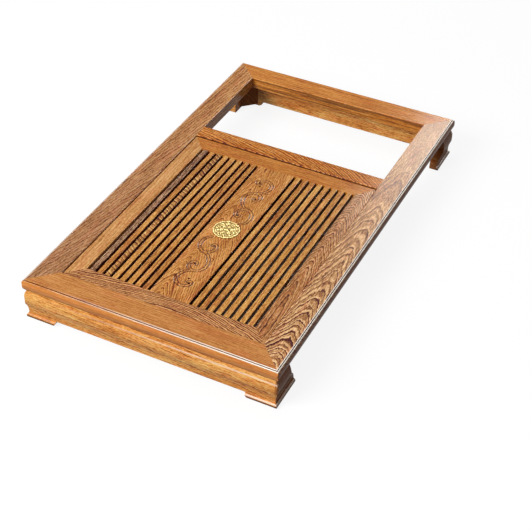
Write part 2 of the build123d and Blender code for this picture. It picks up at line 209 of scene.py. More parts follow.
# The lightness of the wood through one year's growth, from 0 to 1.
YEAR = ((0.0, 0.0), (0.1, 0.05), (0.22, 1.0), (0.45, 0.85), (0.7, 0.6), (0.9, 0.5), (1.0, 0.0))
FIBRE, GRIT, CLOUD, LUCK = 2.4, 2.0, 0.8, 0.28  # how far each one swings the tone
LUCK_LENGTH, LUCK_WIDTH = 900.0, 37.0  # mm by which luck can move a slat's lines and noises
PORE_TINT = (0.6, 0.5, 0.4)  # of the board's dark tone
ROSY = (255, 236, 240)  # the tint of the redder patches
CUT_SHADE = (76, 36, 12)  # painted shade where the wood is cut below the panel's face
# painted shade deep in the carving's cuts and eyes
DEEP_CUT_SHADE = (42, 18, 12)
SLOT_WALL_SHADE = ((112, 48, 34), (132, 108, 96))  # painted shade on the slots' walls, painted lighter on the right ones as if they catch more light


def stain(red, green, blue):
    """The wood's own colour where the lacquered board looks like the given display colour."""
    return tuple(max(c - COAT_HAZE, 0.003) for c in rgb(red, green, blue)[:3]) + (1.0,)


def stretched(g, at, lengthwise, crosswise, through=None):
    """A place on a board, scaled per mm for a noise that is drawn out along the grain."""
    scales = (lengthwise, crosswise, through or crosswise)
    return g.vector(*(g.times(value, scale) for value, scale in zip(at, scales)))


def climb(g, share, course):
    """How far the growth lines have climbed, in mm, for a share of the way along the board."""
    points = [((along + REACH) / (2 * REACH), height / (2 * CLIMB) + 0.5) for along, height in course]
    return g.swing(g.curve(share, points), 2 * CLIMB)


def growth(g, at, climbed, ring, pith, bend, spread, wander):
    """The growth lines, dark below 0 and light above, and how lively they are, from 0.7 to 1.2."""
    width, depth = at[1:]
    slow = stretched(g, at, 0.007, 0.022, 0.02)
    drift = g.swing(g.noise(slow, detail=2.0), wander * 3)
    ripple = g.swing(g.noise(stretched(g, at, 0.045, 0.11, 0.1), roughness=0.6), wander)
    across = g.add(width, -pith, drift)
    arch = g.math("SQRT", g.add(g.times(across, across), bend * bend))
    grown = g.add(g.times(arch, spread), climbed, ripple, g.times(depth, 0.7))
    uneven = g.times(g.noise(g.vector(g.times(grown, 0.3 / ring), 0.0, 0.0), detail=2.0), ring * 2.5)
    years = g.math("DIVIDE", g.add(grown, uneven), ring)
    ringed = g.ramp(g.math("FRACT", years), [(part, grey(light)) for part, light in YEAR])
    fine = g.math("PINGPONG", g.times(years, 3.3), 1.0)
    lines = g.add(g.times(ringed, 0.72), g.times(fine, 0.34), -0.6)
    lively = g.add(g.times(g.along(0.25, 0.7, g.noise(slow, 2.3, 2.0)), 0.5), 0.7)
    return lines, lively


def slat_luck(g, width):
    """A random value of each slat's own, from 0 to 1."""
    counted = g.add(g.math("ABSOLUTE", width), SLAT_PITCH - FIRST_SLOT_X % SLAT_PITCH)
    strip = g.math("FLOOR", g.math("DIVIDE", counted, SLAT_PITCH))
    return g.node("TexWhiteNoise", {"W": g.times(strip, g.math("SIGN", width))},
                  noise_dimensions="1D").outputs["Value"]


def wood(name, grain, dark, mid, light, ring=4.0, contrast=0.5, pith=-300.0, bend=20.0, spread=1.0,
         course=((-REACH, 0), (REACH, 0)), wander=5.0, fade=(1.0, 1.0), shift=0.0, fleck=0.35,
         figure=0.35, slats=False, near=None, far=None, cut=None, painted_light=None, coat=0.36, polish=0.16):
    """Lacquered hardwood. grain is the axis the board runs along, dark, mid and light its tones.

    The growth lines are those of a flat-sawn board: nested arches round the line width = pith, bend
    mm wide at their tips and falling back by spread per mm of width. course gives how far they have
    climbed at places along the board, so its slope is their direction and pitch, and they stray from
    it by wander mm. ring is one year's growth in mm. contrast is the strength of the lines and fade
    what is left of it at the near and the far end. shift moves the noises along the board.

    fleck is the strength of the pores and figure that of the fibres. slats makes each slat a board
    of its own. near tints the near end, and far paints a pale sheen onto the far one. cut gives the
    colours of the painted shade deep in the panel's cuts and slots, on the table's left and right;
    above them it is painted darker just below the face. painted_light(g, place, share, colour) paints
    highlights and shade onto the colour at last. coat is the weight of the lacquer and polish its
    roughness.
    """
    g = Graph(bpy.data.materials.new(name))
    place = g.place()
    length, width, depth = (place[axis] for axis in GRAIN[grain])
    share = g.math("DIVIDE", g.add(length, REACH), 2 * REACH, clamp=True)
    climbed = climb(g, share, course)
    if slats:
        luck = slat_luck(g, width)
        length = g.add(length, g.times(luck, LUCK_LENGTH))
        width = g.add(width, g.times(luck, LUCK_WIDTH))
    at = (g.add(length, shift), width, depth)

    lines, lively = growth(g, at, climbed, ring, pith, bend, spread, wander)
    strength = g.times(lively, contrast)
    if fade != (1.0, 1.0):
        strength = g.times(strength, g.add(fade[0], g.times(share, fade[1] - fade[0])))
    fibre = g.noise(stretched(g, at, 0.04, 0.45), detail=5.0, roughness=0.7)
    grit = g.noise(stretched(g, at, 0.16, 0.45), roughness=0.7)
    cloud = g.noise(stretched(g, at, 0.012, 0.05), roughness=0.55)
    tone = g.add(g.times(lines, strength), g.swing(fibre, figure * FIBRE),
                 g.swing(grit, figure * GRIT), g.swing(cloud, CLOUD), 0.5)
    if slats:
        tone = g.add(tone, g.swing(luck, LUCK))
    colour = g.ramp(tone, [(0.0, stain(*dark)), (0.5, stain(*mid)), (1.0, stain(*light))])
    redder = g.along(0.45, 0.7, g.noise(stretched(g, at, 0.02, 0.12), roughness=0.6))
    colour = g.mix(redder, colour, g.mix(1.0, colour, rgb(*ROSY), "MULTIPLY"))
    if near:
        colour = g.mix(share, g.mix(1.0, colour, rgb(*near), "MULTIPLY"), colour)
    # painted sheen: the far end is painted paler, like the lacquer's sheen under the lamps
    if far:
        colour = g.mix(g.times(g.along(0.45, 0.95, share), 0.4), colour, rgb(*far))

    # open pores: short dark dashes along the grain
    pore = g.along(0.58, 0.7, g.noise(stretched(g, at, 0.16, 1.7), detail=1.0))
    colour = g.mix(g.times(pore, fleck), colour, stain(*(c * k for c, k in zip(dark, PORE_TINT))))
    # painted shade: darker just below the panel's face, and the cut's colours deeper in its cuts and
    # slots
    if cut:
        below = g.times(g.along(FACE_Z - 0.1, FACE_Z - 0.9, depth), 0.75)
        colour = g.mix(below, colour, stain(*CUT_SHADE))
        side = g.mix(g.along(0.0, 50.0, place[X]), rgb(*cut[0]), rgb(*cut[1]))
        colour = g.mix(g.times(g.along(FACE_Z - 1.3, FACE_Z - 2.4, depth), 0.9), colour, side)
    if painted_light:
        colour = painted_light(g, place, share, colour)

    shader = g.node("BsdfPrincipled", {
        "Base Color": colour, "Roughness": g.add(0.42, g.times(pore, 0.25)),
        "Normal": g.bump(g.add(g.times(pore, -0.6), g.times(fibre, 0.5)), 0.25, 0.0002),
        "Specular IOR Level": 0.0, "Coat Weight": coat, "Coat Roughness": polish, "Coat IOR": 1.5})
    return g.finish(shader)


# ---------------------------------------------------------------- painted highlights and shade on the edges

PAINTED_HIGHLIGHT = (255, 243, 230)  # painted highlight on the frame's arris and bead
# painted highlight on the aprons' shoulder and the lips
PAINTED_HIGHLIGHT_BASE = (255, 232, 210)
# Painted shade: in the quirk, under the back rail's arris (beside streaks on its wall), on the cross
# rail's wall over the panel, on the right legs and under the lips.
QUIRK_SHADE = (64, 30, 14)
WALL_STREAKS_AND_SHADE = (84, 40, 16)  # streaks and painted shade on the back rail's wall
CROSS_WALL_SHADE = (60, 28, 12)
RIGHT_LEG_SHADE = (112, 44, 20)
LIP_SHADE = (92, 54, 38)

# Painted highlights on the arris and the bead, and painted shade in the quirk: from where to where
# each lies inside the outline, how soft its edges are there, and the drops below the top at which it
# starts and is full.
ARRIS = ((4.9, 6.1, 0.3), (0.8, 0.6))
BEAD = ((2.2, 3.9, 0.3), (2.6, 2.1))
QUIRK = ((4.2, 5.1, 0.2), (0.7, 0.9))
NOSE = (2.2, 1.6)  # the insets at which the nose's painted colour starts and is full

# Painted highlights on the base's shoulder and lips: from which height to which, and how soft their
# edges are.
SHOULDER = (49.6, 51.2, 1.0)
LIP = (6.3, 7.9, 0.6)
UNDER_LIP = (6.4, 5.0)  # the heights at which the painted shade under the lip starts and is full
BASE_FACE = (7.0, 6.0)  # the insets at which the outer faces of aprons and legs start and are full
OFF_ENDS = (7.0, 8.0)  # the same for all but the faces at the table's short sides
# the x at which the painted shade on the right legs starts and is full
RIGHT_LEGS_X = (165.0, 175.0)


def insets(g, place):
    """How far a place lies inside the table's outline, from its long and its short sides, in mm."""
    return [g.math("SUBTRACT", half, g.math("ABSOLUTE", place[axis]))
            for axis, half in ((X, HALF_X), (Y, HALF_Y))]


def moulded(first, last, nose=None):
    """Painted light on the moulding: highlights on the arris and bead, shade in the quirk between.

    first and last are the highlights' strength at the two ends of the rail. nose is a colour laid on
    the bull nose, and its strength: on the right rail it is painted shade.
    """
    def painted_light(g, place, share, colour):
        inset = g.math("MINIMUM", *insets(g, place))
        drop = g.math("SUBTRACT", TOP_Z, place[Z])
        arris, bead, quirk = (g.times(g.band(*inside, inset), g.along(*fade, drop))
                              for inside, fade in (ARRIS, BEAD, QUIRK))
        highlight_strength = g.add(first, g.times(share, last - first))
        # the colour laid on the nose; on the right rail it is painted shade
        if nose:
            colour = g.mix(g.times(g.along(*NOSE, inset), nose[1]), colour, rgb(*nose[0]))
        # painted shade in the quirk, then painted highlights on the arris and the bead
        colour = g.mix(g.times(quirk, 0.85), colour, rgb(*QUIRK_SHADE))
        return g.mix(g.times(g.math("MAXIMUM", arris, bead), highlight_strength), colour, rgb(*PAINTED_HIGHLIGHT))
    return painted_light


def back_rail_streaks_and_painted_light(g, place, share, colour):
    """The back rail: painted light on its moulding; streaks and painted shade on its kettle bay wall.
    """
    height = place[Z]
    wall = g.times(g.along(BAY_WALL_Y + 1.6, BAY_WALL_Y + 0.6, place[Y]),
                   g.along(TOP_Z - 1.0, TOP_Z - 1.6, height))
    streaks = g.along(0.46, 0.6, g.noise(g.vector(g.times(share, 5.0), 0.0, g.times(height, 0.3)),
                                         roughness=0.6))
    # painted shade: a dark line under the arris
    line = g.band(TOP_Z - 5.0, TOP_Z - 2.0, 0.5, height)
    dark = g.math("MAXIMUM", g.times(streaks, 0.75), g.times(line, 0.6))
    return moulded(0.3, 0.3)(g, place, share, g.mix(g.times(wall, dark), colour, rgb(*WALL_STREAKS_AND_SHADE)))


def cross_rail_painted_shade(g, place, share, colour):
    """Painted shade: the cross rail is dark on the wall that stands over the panel."""
    wall = g.times(g.along(CROSS_WALL_Y + 1.6, CROSS_WALL_Y + 0.7, place[Y]),
                   g.along(TOP_Z - 0.5, TOP_Z - 1.0, place[Z]))
    return g.mix(g.times(wall, 0.8), colour, rgb(*CROSS_WALL_SHADE))


def base_painted_light(g, place, share, colour):
    """The base: a painted highlight on the aprons' shoulder, and lips with painted highlights above
    and painted shade below.

    Both highlights fade out towards the left. The legs on the right are painted darker as shade, as
    is the rail above them.
    """
    side, end = insets(g, place)
    height = place[Z]
    on_end = g.along(*BASE_FACE, end)
    outer = g.along(*BASE_FACE, g.math("MINIMUM", side, end))
    # painted shade on the right legs: their outer sides, and their faces away from the short ends
    legs = g.math("MAXIMUM", g.times(g.along(*BASE_FACE, side), 0.55),
                  g.times(g.along(*OFF_ENDS, end), 0.75))
    colour = g.mix(g.times(legs, g.along(*RIGHT_LEGS_X, place[X])), colour, rgb(*RIGHT_LEG_SHADE))
    # painted highlight on the aprons' shoulder
    shoulder = g.times(g.band(*SHOULDER, height), on_end, g.along(0.2, 0.7, share))
    colour = g.mix(g.times(shoulder, 0.55), colour, rgb(*PAINTED_HIGHLIGHT_BASE))
    # painted shade under the lip, then a painted highlight on its top
    colour = g.mix(g.times(outer, g.along(*UNDER_LIP, height), 0.75), colour, rgb(*LIP_SHADE))
    lip = g.times(outer, g.band(*LIP, height), g.along(0.15, 0.7, share))
    return g.mix(g.times(lip, 0.7), colour, rgb(*PAINTED_HIGHLIGHT_BASE))


# ---------------------------------------------------------------- the boards

LEFT = wood("wood_left_rail", "y", (112, 62, 28), (200, 138, 80), (236, 182, 124), ring=3.6,
            contrast=0.8, pith=-100, bend=60, spread=0.7, course=((-400, -60), (0, 0), (400, 30)),
            figure=0.7, fleck=0.6, near=(218, 222, 255), painted_light=moulded(0.4, 0.3))
RIGHT = wood("wood_right_rail", "y", (84, 42, 12), (186, 131, 80), (252, 208, 154), ring=4.4,
             contrast=1.05, pith=209, bend=9, spread=0.72,
             course=((-400, -130), (-300, -90), (-50, -40), (150, -6), (400, 20)), wander=6,
             # far paints the lacquer's sheen onto the far end as a paler colour
             fade=(1.5, 0.0), figure=0.8, far=(244, 208, 180),
             # the nose is painted dark, as shade on the side turned from the lamps
             painted_light=moulded(1.0, 1.0, nose=((118, 50, 26), 0.7)), polish=0.24)
FRONT = wood("wood_front_rail", "x", (150, 82, 30), (198, 134, 74), (232, 170, 108), ring=5,
             contrast=0.45, pith=-600, figure=0.5, fleck=0.25,
             painted_light=moulded(-0.5, 1.4, nose=((222, 134, 58), 0.4)))
BACK = wood("wood_back_rail", "x", (154, 82, 18), (212, 136, 60), (244, 176, 98), ring=6,
            contrast=0.5, pith=600, shift=300, figure=0.6, painted_light=back_rail_streaks_and_painted_light)
CROSS = wood("wood_cross_rail", "x", (100, 44, 4), (194, 112, 42), (244, 178, 104), ring=4.8,
             contrast=1.3, pith=180, bend=8, spread=0.9,
             course=((-400, 60), (-100, 20), (60, -30), (200, -110), (400, -260)),
             shift=120, figure=0.6, painted_light=cross_rail_painted_shade, coat=0.25)
LEFT_STILE = wood("wood_left_stile", "y", (150, 90, 38), (205, 148, 88), (240, 188, 130), ring=6,
                  contrast=0.5, pith=-600, figure=0.75, fleck=0.25)
RIGHT_STILE = wood("wood_right_stile", "y", (76, 32, 4), (182, 122, 70), (240, 188, 136), ring=3.8,
                   contrast=1.5, pith=165, bend=4, spread=1.0,
                   course=((-400, -8), (-150, 0), (-60, 30), (20, 60), (110, 110), (400, 300)),
                   fade=(0.3, 1.5), figure=0.65)
PANEL_FRONT = wood("wood_panel_front", "x", (84, 36, 6), (160, 94, 42), (236, 176, 118), ring=3.4,
                   contrast=2.4, pith=-352, bend=6, spread=1.0,
                   course=((-400, 80), (-60, 8), (10, 0), (90, 10), (400, 120)),
                   wander=4, figure=0.7)
PANEL_BACK = wood("wood_panel_back", "x", (140, 74, 20), (198, 126, 56), (234, 168, 94), ring=5,
                  contrast=0.5, pith=300, shift=-200, figure=0.55)
CENTRE = wood("wood_centre_board", "y", (124, 64, 16), (202, 136, 70), (242, 184, 116), ring=3.6,
              contrast=0.9, pith=-19, bend=5, spread=0.9,
              course=((-400, -120), (-150, -50), (-80, -20), (400, 10)), fade=(1.0, 0.5),
              figure=0.7, cut=(DEEP_CUT_SHADE, DEEP_CUT_SHADE), coat=0.3)
SLAT = wood("wood_slats", "y", (130, 72, 22), (204, 140, 70), (244, 194, 116), ring=4, contrast=0.5,
            pith=-500, slats=True, figure=0.75, cut=SLOT_WALL_SHADE)
SLAT_GREY = wood("wood_slat_mottled", "y", (70, 40, 26), (152, 108, 74), (216, 178, 140), ring=3,
                 contrast=0.9, pith=-500, figure=1.1, fleck=0.8, cut=SLOT_WALL_SHADE)
SLAT_RINGED = wood("wood_slat_ringed", "y", (88, 44, 14), (182, 122, 62), (242, 196, 124), ring=7,
                   contrast=1.0, pith=-122, bend=4, spread=0.5, course=((-400, -300), (400, 300)),
                   figure=0.8, cut=SLOT_WALL_SHADE)
BASE = wood("wood_base", "x", (140, 72, 18), (234, 156, 80), (255, 214, 134), ring=2.6, contrast=0.7,
            pith=-600, wander=6, course=((-400, -14), (400, 14)), figure=0.65, fleck=0.3,
            painted_light=base_painted_light, coat=0.25)
INSIDE = wood("wood_inside", "y", (104, 58, 24), (156, 98, 50), (186, 130, 78), ring=6,
              contrast=0.5, coat=0.1)
INSIDE_X = wood("wood_inside_across", "x", (104, 58, 24), (156, 98, 50), (186, 130, 78), ring=6,
                contrast=0.5, coat=0.1)
BATTEN = wood("wood_battens", "x", (60, 32, 20), (92, 54, 34), (124, 80, 54), ring=6,
              contrast=0.5, coat=0.1)


# ---------------------------------------------------------------- metals


def steel(name, colour):
    """Brushed steel with soft darker patches."""
    g = Graph(bpy.data.materials.new(name))
    metres = g.node("TexCoord").outputs["Object"]
    brushed = g.noise(g.node("Mapping", {"Vector": metres, "Scale": (900, 30, 900)}).outputs[0],
                      detail=4.0, roughness=0.6)
    patches = g.noise(metres, 18.0, 4.0, 0.55)
    tone = g.mix(g.times(patches, 0.5), rgb(*colour), rgb(*(c * 0.8 for c in colour)))
    shader = g.node("BsdfPrincipled", {
        "Base Color": tone, "Metallic": 1.0, "Roughness": g.add(0.32, g.swing(brushed, 0.25)),
        "Normal": g.bump(brushed, 0.15, 0.0001)})
    return g.finish(shader)


def brass(name):
    """Old brass, duller towards the panel's face and dark where it is pierced."""
    g = Graph(bpy.data.materials.new(name))
    height = g.place()[Z]
    metres = g.node("TexCoord").outputs["Object"]
    patina = g.noise(metres, 160.0, 4.0, 0.6)
    tone = g.mix(g.along(0.35, 0.7, patina), rgb(172, 150, 94), rgb(214, 198, 142))
    tone = g.mix(g.along(FACE_Z + 1.5, FACE_Z + 0.9, height), tone, rgb(150, 124, 70))
    tone = g.mix(g.along(FACE_Z + 0.7, FACE_Z + 0.3, height), tone, rgb(44, 26, 10))
    shader = g.node("BsdfPrincipled", {
        "Base Color": tone, "Metallic": 1.0, "Roughness": g.add(0.26, g.times(patina, 0.2)),
        "Normal": g.bump(g.noise(metres, 900.0, 2.0), 0.2, 0.0002)})
    return g.finish(shader)


TRAY = steel("steel_tray", (128, 118, 106))
SCREW = steel("steel_screws", (150, 146, 140))
BRASS = brass("brass_medallion")


def dress(material, *nodes):
    for name in nodes:
        slots = NODES[name].data.materials
        slots.clear()
        slots.append(material)


def named(start):
    return [name for name in NODES if name.startswith(start)]


dress(LEFT, "rail_left")
dress(RIGHT, "rail_right")
dress(FRONT, "rail_front")
dress(BACK, "rail_back")
dress(CROSS, "cross_rail")
dress(LEFT_STILE, "panel_stile_left")
dress(RIGHT_STILE, "panel_stile_right")
dress(PANEL_FRONT, "panel_rail_front")
dress(PANEL_BACK, "panel_rail_back")
dress(SLAT, *named("slat_"))
dress(SLAT_GREY, "slat_left_8")
dress(SLAT_RINGED, "slat_left_6")
dress(BASE, "apron_front", "apron_back", *named("leg_"))
dress(INSIDE, "side_board_left", "side_board_right", "ledge_left", "ledge_right",
      "runner_left", "runner_right", "mitre_splines", "panel_splines", *named("corner_block_"))
dress(INSIDE_X, "front_board", "divider_board", "ledge_front", "ledge_back")
dress(BATTEN, "batten_front", "batten_back")
dress(TRAY, "water_tray")


# ---------------------------------------------------------------- shaping helpers

SHARP = 38  # degrees between two faces from which their edge stays sharp
FAR_OFF = 1e3  # mm, more than any distance in a relief


def threaded(points, steps=14):
    """Points along a smooth line through the given ones."""
    given = np.array([points[0], *points, points[-1]], float)
    t = np.linspace(0, 1, steps, endpoint=False)[:, None]
    runs = []
    for a, b, c, d in zip(given, given[1:], given[2:], given[3:]):
        runs.append(0.5 * (2 * b + (c - a) * t + (2 * a - 5 * b + 4 * c - d) * t ** 2
                           + (3 * b - a - 3 * c + d) * t ** 3))
    return np.vstack([*runs, given[-1:]])


def eased(low, high, value):
    t = np.clip((value - low) / (high - low), 0, 1)
    return t * t * (3 - 2 * t)


def to_line(x, y, line, half_widths):
    """The distance from each place to the edge of a band of changing width along the line."""
    nearest = np.full(x.shape, FAR_OFF)
    for (u, v), half in zip(line, half_widths):
        np.minimum(nearest, np.hypot(x - u, y - v) - half, out=nearest)
    return nearest


def piece(name, vertices, faces, material, body, slot, *replaced):
    """A piece from vertices in mm, which rides on a body and may replace CAD nodes."""
    mesh = bpy.data.meshes.new(name)
    mesh.from_pydata((np.asarray(vertices) * MM).tolist(), [], faces)
    mesh.update()
    mesh.shade_smooth()
    mesh.set_sharp_from_angle(angle=radians(SHARP))
    mesh.materials.append(material)
    made = bpy.data.objects.new(name, mesh)
    bpy.context.scene.collection.objects.link(made)
    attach(made, body)
    if replaced:
        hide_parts(*replaced)


def tube_faces(rings, around):
    """Quads between rings of vertices, closed by a face at each end."""
    i, j = np.meshgrid(np.arange(rings - 1), np.arange(around), indexing="ij")
    a, b = i * around + j, i * around + (j + 1) % around
    quads = np.stack([a, a + around, b + around, b], -1).reshape(-1, 4).tolist()
    last = (rings - 1) * around
    return quads + [list(range(around)), list(range(last + around - 1, last - 1, -1))]


def disc(centre, face_z, outline, relief, back, radial, around, up=1):
    """Vertices and faces of a round relief that stands on face_z, or hangs from it with up=-1.

    outline(angle) is its radius, relief(radius, angle) its height, and back the radii and heights
    of its rear, from the edge inwards.
    """
    angle = np.linspace(0, 2 * pi, around, endpoint=False)
    reach = outline(angle)
    rings = []
    for share in np.linspace(1, 0, radial, endpoint=False)[::-1]:
        r = reach * share
        rings.append((r, face_z + up * relief(r, angle)))
    rings += [(np.minimum(reach, r), np.full(around, z)) for r, z in back]
    points = [np.stack([centre[X] + r * np.cos(angle), centre[Y] + up * r * np.sin(angle), z], -1)
              for r, z in rings]
    return np.vstack(points), tube_faces(len(rings), around)


# ---------------------------------------------------------------- carved centre board

MEDALLION_LOW, MEDALLION_HIGH = corners("medallion")
MEDALLION_Y = round((MEDALLION_LOW[Y] + MEDALLION_HIGH[Y]) / 2, 1)
MEDALLION_R = 23.7  # to the tips of its lobes
SEAT_Z = MEDALLION_LOW[Z]  # the floor of its seat in the board
SEAT_R = MEDALLION_R - 2.5
PLUG_R = MEDALLION_R - 3.0  # the medallion's part in the seat

TENON_L = 6.0
TENON_Z = (72.5, 76.0)
TENON_SHOULDER = 1.0
BOARD_ARRIS_R = 0.8

# The carving below the medallion, from its centre. It repeats above, turned by half a turn.
SCROLLS = (
    ((-13, -26), (-18.5, -31), (-22, -41), (-21, -53), (-16, -62), (-8.5, -67), (-0.5, -66),
     (5.5, -61), (7.8, -54), (6.8, -47), (3.5, -42.7), (-0.5, -43.5), (-1.5, -47.5)),
    ((-8.5, -67), (1.5, -71), (8, -77.5), (13, -86), (15.8, -96), (15.3, -106), (11, -114),
     (3.5, -118), (-4.5, -117), (-10, -112), (-11.6, -105), (-9.6, -98.8), (-5, -96.8),
     (-1, -99), (-0.6, -103)),
    ((3.5, -118), (-6.5, -123), (-11.5, -130), (-14.6, -139), (-13.8, -148.5), (-8.5, -156),
     (-0.5, -159.3), (7.5, -158), (13.5, -153.5), (14.6, -147.5), (11, -144.8), (7.3, -147.5)),
)
EYES = ((2.8, -47.3), (-4.6, -101.8), (10.8, -149.6), (5.4, -139.5))
LEAVES = (((-27, -47), (-23, -37), (-16, -29)), ((-14, -70), (-9, -71), (-3, -73.5)),
          ((20, -82), (17.5, -78), (12, -74)), ((-20, -128), (-17, -125), (-10, -121)))
RIBBON = 1.5  # half the width of a scroll
ROUNDED = 0.25  # how far a scroll's edges fall from its crest
CUT = 1.0  # how deep the ground is cut beside it
CUT_WALL = 0.7  # how far the cut takes to get there
BEVEL = 3.4  # how far it takes to come back to the board's face
LEAF = 1.4  # half the width of a leaf
LEAF_SLOPE = 0.8  # of the groove that a leaf is cut with
EYE_R = 1.9
EYE_EDGE = 0.5  # the slope at its edge
EYE_DEEP = 4.0

CARVED_X = 26.0  # the carving's reach to both sides of the medallion's centre
CARVED_Y = (22.0, 166.0)  # its reach towards both ends
FINE, COARSE = 0.5, 3.0  # the mesh's steps in the carving and beside it


def carving(x, y):
    """Heights of the carving over the board's face, for places measured from the medallion."""
    edge = np.full(x.shape, FAR_OFF)
    for points in SCROLLS:
        line = threaded(points)
        taper = np.interp(np.linspace(0, 1, len(line)), (0, 0.2, 0.6, 1), (0.5, 1.0, 1.0, 0.6))
        np.minimum(edge, to_line(x, y, line, RIBBON * taper), out=edge)
    crest = ROUNDED * np.exp(1.6 * np.minimum(edge, 0))
    ground = ROUNDED + (CUT - ROUNDED) * eased(0, CUT_WALL, edge)
    z = -np.where(edge < 0, crest, ground * (1 - eased(CUT_WALL, BEVEL, edge)))
    for points in LEAVES:
        line = threaded(points)
        taper = np.sin(np.linspace(0, pi, len(line))) * LEAF
        z = np.minimum(z, LEAF_SLOPE * np.minimum(to_line(x, y, line, taper), 0))
    for u, v in EYES:
        z -= EYE_DEEP * (1 - eased(EYE_R - EYE_EDGE, EYE_R, np.hypot(x - u, y - v)))
    return z


def carved_board():
    """The centre board with its tenons, its carving and the medallion's seat: rings along it."""
    turn = np.linspace(0, pi / 2, 5)[:-1]
    flat = BOARD_X - BOARD_ARRIS_R
    across = np.concatenate([np.arange(-flat, -CARVED_X, COARSE), np.arange(-CARVED_X, CARVED_X, FINE),
                             np.arange(CARVED_X, flat, COARSE), [flat]])
    left = [-flat - BOARD_ARRIS_R * cos(t) for t in turn]
    rise = [FACE_Z - BOARD_ARRIS_R + BOARD_ARRIS_R * sin(t) for t in turn]
    xs = np.concatenate([[-BOARD_X], left, across, [-v for v in left[::-1]], [BOARD_X]])
    zs = np.concatenate([[BOARD_LOW[Z]], rise, np.full(across.shape, FACE_Z), rise[::-1],
                         [BOARD_LOW[Z]]])
    face = slice(1 + len(left), 1 + len(left) + len(across))

    start, end = CARVED_Y
    cut_y = np.arange(start, end, FINE)
    along = np.concatenate([
        np.linspace(BOARD_LOW[Y] + TENON_L, MEDALLION_Y - end, 6)[:-1], MEDALLION_Y - cut_y[::-1],
        MEDALLION_Y + np.arange(1 - start, start), MEDALLION_Y + cut_y,
        np.linspace(MEDALLION_Y + end, BOARD_HIGH[Y] - TENON_L, 6)[1:]])
    x, y = np.meshgrid(xs, along)
    z = np.tile(zs, (len(along), 1))
    u, v = x[:, face], y[:, face] - MEDALLION_Y
    z[:, face] += np.where(v < 0, carving(u, v), carving(-u, -v))
    z[:, face] -= np.where(np.hypot(u, v) < SEAT_R, FACE_Z - SEAT_Z, 0)
    rings = np.stack([x, y, z], -1)

    front, back = rings[0].copy(), rings[-1].copy()
    for ring in (front, back):
        ring[:, X] *= 1 - TENON_SHOULDER / BOARD_X
        ring[:, Z] = np.interp(zs, (BOARD_LOW[Z], FACE_Z), TENON_Z)
    out = np.array((0, TENON_L, 0))
    rings = np.vstack([[front - out, front], rings, [back, back + out]])
    rings = rings[::-1]  # from back to front, so that the faces look outwards
    piece("carved_centre_board", rings.reshape(-1, 3), tube_faces(len(rings), len(xs)),
          CENTRE, "slat_panel", "wood", "centre_board")


# ---------------------------------------------------------------- medallion and screws

LOBES = 12
LOBE_DEEP = 1.5
EDGE_LIFT = 0.05  # of the medallion's edge over the board
PLUG_GAP = 0.02  # under it in its seat
RIM = 1.1  # height of the beaded rim's foot over the board
RIM_FROM, RIM_AT, RIM_HALF = 0.9, 0.95, 0.05  # its inner edge, middle and half width, of the radius
RIM_RISE = 0.75
BEADS, BEAD_RISE = 72, 0.2
GROUND = 0.95  # height of the ground between the curls
CURLS = ((15.9, 10, 3.6, 0.0, 1), (8.6, 6, 3.0, 0.3, -1))  # ring, count, size, first angle, hand
CURL_TURNS = 1.35
CURL_HALF = 0.55  # half the width of a curl
CURL_RISE = 0.8
HOLES = ((20.3, 20, 0.157), (12.0, 12, 0.1), (5.3, 8, 0.2), (15.9, 10, 0.0))  # ring, count, angle
HOLE_R = 1.0
HOLE_DEEP = 1.2
ROSE_R = 4.2
ROSE_DOME = (1.6, 0.05)  # height in the middle and fall per mm2
PETALS, PETAL_RISE = 8, 0.45

SCREW_R = 2.9
SCREW_DOME = (1.1, 0.075)  # its height and fall in the same way
SCREW_SUNK = 0.02  # how far its back lies in the wood
SCREW_CROSS = (0.4, 1.8, 0.7)  # half the width, reach and depth of the cross in the head
BLOCK_SCREW_INSET = 10.0  # from the outer faces of a glue block


def ring_places(radius, count, first):
    """Angles and places spread evenly round a ring."""
    angles = [first + k * 2 * pi / count for k in range(count)]
    return [(a, radius * cos(a), radius * sin(a)) for a in angles]


